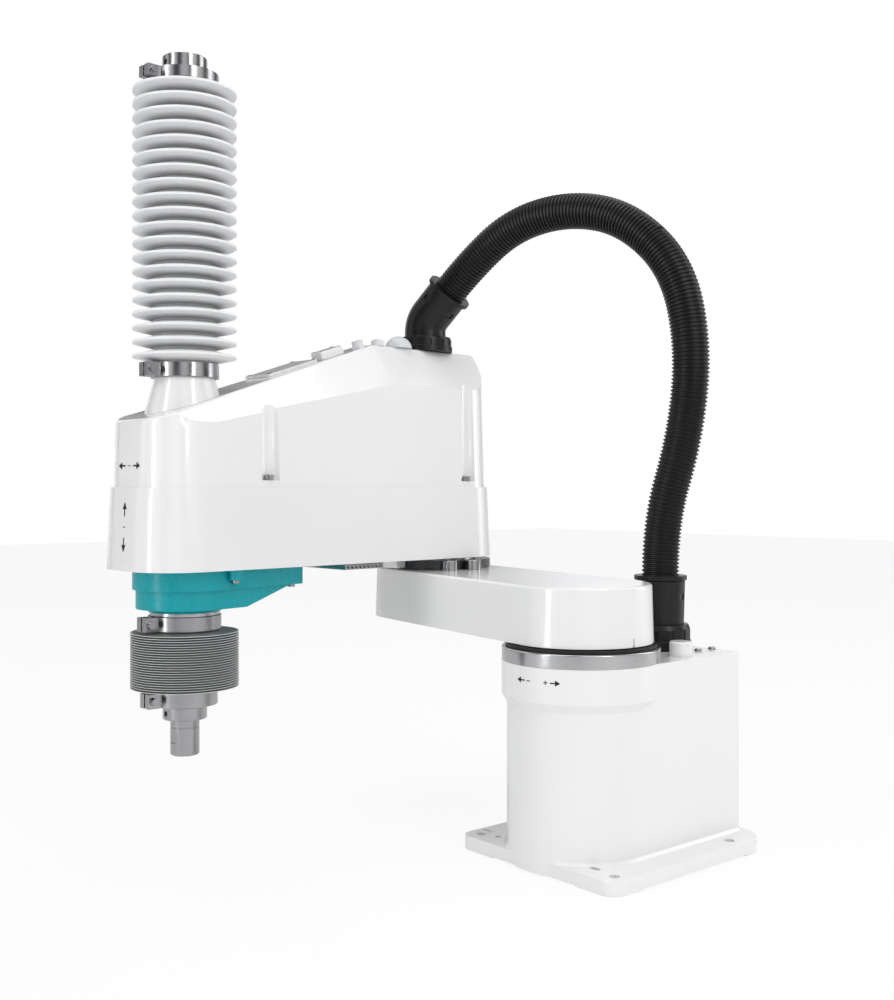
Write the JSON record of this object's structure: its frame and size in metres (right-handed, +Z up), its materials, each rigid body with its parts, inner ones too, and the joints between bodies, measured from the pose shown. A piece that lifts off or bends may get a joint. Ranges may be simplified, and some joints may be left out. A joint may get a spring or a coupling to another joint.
{
  "type": "scara robot",
  "caption": "Four axis horizontal jointed arm with a square footed base, an upper arm, a covered forearm, a hollow lifting and turning shaft in bellows, and an arched cable conduit",
  "frame": {"origin": "Where the joint 1 axis meets the mounting face under the base", "axes": "+Z up along the joint 1 axis, +X to the robot's front, +Y to its left"},
  "size_m": [0.477, 0.3997, 0.6938],
  "materials": {
    "white_paint": "satin white paint",
    "white_cover": "gloss white paint",
    "machined_steel": "turned and ground",
    "machined_aluminium": "fine turned",
    "black_seal": "matt",
    "black_plastic": "moulded nylon",
    "conduit_plastic": "corrugated",
    "teal_cover": "gloss moulding",
    "bellows_cloth": "coated fabric",
    "lower_bellows_cloth": "coated fabric",
    "motor_black": "matt black paint",
    "belt_rubber": "toothed belt",
    "lamp_plastic": "translucent white",
    "button_plastic": "white"
  },
  "bodies": {
    "base": {"base_casting": "white_paint", "rear_panel": "white_paint", "power_inlet": "black_plastic", "signal_inlet": "machined_aluminium", "air_inlets": "black_plastic", "base_screws": "machined_steel", "blanking_post": "white_paint", "joint1_ring": "machined_aluminium", "joint1_seal": "black_seal", "joint1_reducer": "machined_steel", "joint1_motor": "motor_black", "base_locknut": "black_plastic", "base_connector": "black_plastic", "conduit_lower": "conduit_plastic"},
    "upper_arm": {"joint1_hub": "machined_steel", "arm1_casting": "white_paint", "joint2_reducer": "motor_black", "stop_screws": "machined_steel"},
    "forearm": {"joint2_hub": "machined_steel", "arm2_casting": "white_paint", "arm2_cover": "white_cover", "cover_screws": "machined_steel", "neck": "white_paint", "belt_cover": "teal_cover", "belt_cover_screws": "machined_steel", "lower_neck": "machined_aluminium", "heat_sink": "machined_aluminium", "upper_bellows": "bellows_cloth", "lower_bellows": "lower_bellows_cloth", "arm2_clamps": "machined_steel", "joint2_motor": "motor_black", "joint3_motor": "motor_black", "joint4_motor": "motor_black", "motor_plate": "machined_aluminium", "nut_tower": "machined_aluminium", "nut_bearings": "machined_steel", "joint3_belt": "belt_rubber", "joint4_belt": "belt_rubber", "elbow_locknut": "black_plastic", "elbow": "black_plastic", "conduit_upper": "conduit_plastic", "status_lamp": "lamp_plastic", "button_bezel": "button_plastic", "air_fitting": "button_plastic", "user_connector": "white_paint", "access_plate": "white_paint"},
    "brake_key": {"brake_button": "button_plastic"},
    "lift_nut": {"ball_nut": "machined_steel", "ball_nut_pulley": "machined_aluminium"},
    "lift_motor_pulley": {"joint3_pulley": "machined_aluminium"},
    "turn_nut": {"spline_nut": "machined_steel", "spline_pulley": "machined_aluminium"},
    "turn_motor_pulley": {"joint4_pulley": "machined_aluminium"},
    "lift": {"top_holder": "machined_aluminium", "end_holder": "machined_aluminium", "holder_bearings": "machined_steel", "lift_clamps": "machined_steel"},
    "shaft": {"spline_shaft": "machined_steel", "top_collar": "machined_steel", "end_collar": "machined_steel"}
  },
  "joints": [
    {"name": "joint1", "type": "hinge", "parent": "base", "child": "upper_arm", "pos_m": [0, 0, 0.18], "axis": [0, 0, 1], "range_deg": [-20, 220], "deforming": ["conduit_lower"]},
    {"name": "joint2", "type": "hinge", "parent": "upper_arm", "child": "forearm", "pos_m": [-0.04341, -0.2462, 0.244], "axis": [0, 0, 1], "range_deg": [-238, 32], "deforming": ["conduit_upper"]},
    {"name": "joint3", "type": "slide", "parent": "forearm", "child": "lift", "axis": [0, 0, 1], "range_m": [-0.2, 0], "deforming": ["upper_bellows", "lower_bellows"]},
    {"name": "joint4", "type": "hinge", "parent": "lift", "child": "shaft", "pos_m": [0.25618, -0.2305, 0.39], "axis": [0, 0, 1], "range_deg": [-360, 360]},
    {"name": "lift_nut_turn", "type": "hinge", "parent": "forearm", "child": "lift_nut", "pos_m": [0.25618, -0.2305, 0.35], "axis": [0, 0, 1], "range_deg": [-3600.1, 0.1]},
    {"name": "lift_motor_turn", "type": "hinge", "parent": "forearm", "child": "lift_motor_pulley", "pos_m": [0.0964, -0.23888, 0.35], "axis": [0, 0, 1], "range_deg": [-5400.1, 0.1]},
    {"name": "turn_nut_turn", "type": "hinge", "parent": "forearm", "child": "turn_nut", "pos_m": [0.25618, -0.2305, 0.24], "axis": [0, 0, 1], "range_deg": [-360.1, 360.1]},
    {"name": "turn_motor_turn", "type": "hinge", "parent": "forearm", "child": "turn_motor_pulley", "pos_m": [0.17129, -0.23495, 0.24], "axis": [0, 0, 1], "range_deg": [-1020.1, 1020.1]},
    {"name": "brake_key_press", "type": "slide", "parent": "forearm", "child": "brake_key", "axis": [0, 0, -1], "range_m": [0, 0.0015], "stiffness_N_per_m": 800, "springref_m": -0.001}
  ],
  "couplings": [
    {"joint": "lift_nut_turn", "follows": "joint3", "rad_per_m": 314.16},
    {"joint": "lift_motor_turn", "follows": "joint3", "rad_per_m": 471.24},
    {"joint": "turn_nut_turn", "follows": "joint4", "ratio": 1},
    {"joint": "turn_motor_turn", "follows": "joint4", "ratio": 2.8333}
  ]
}
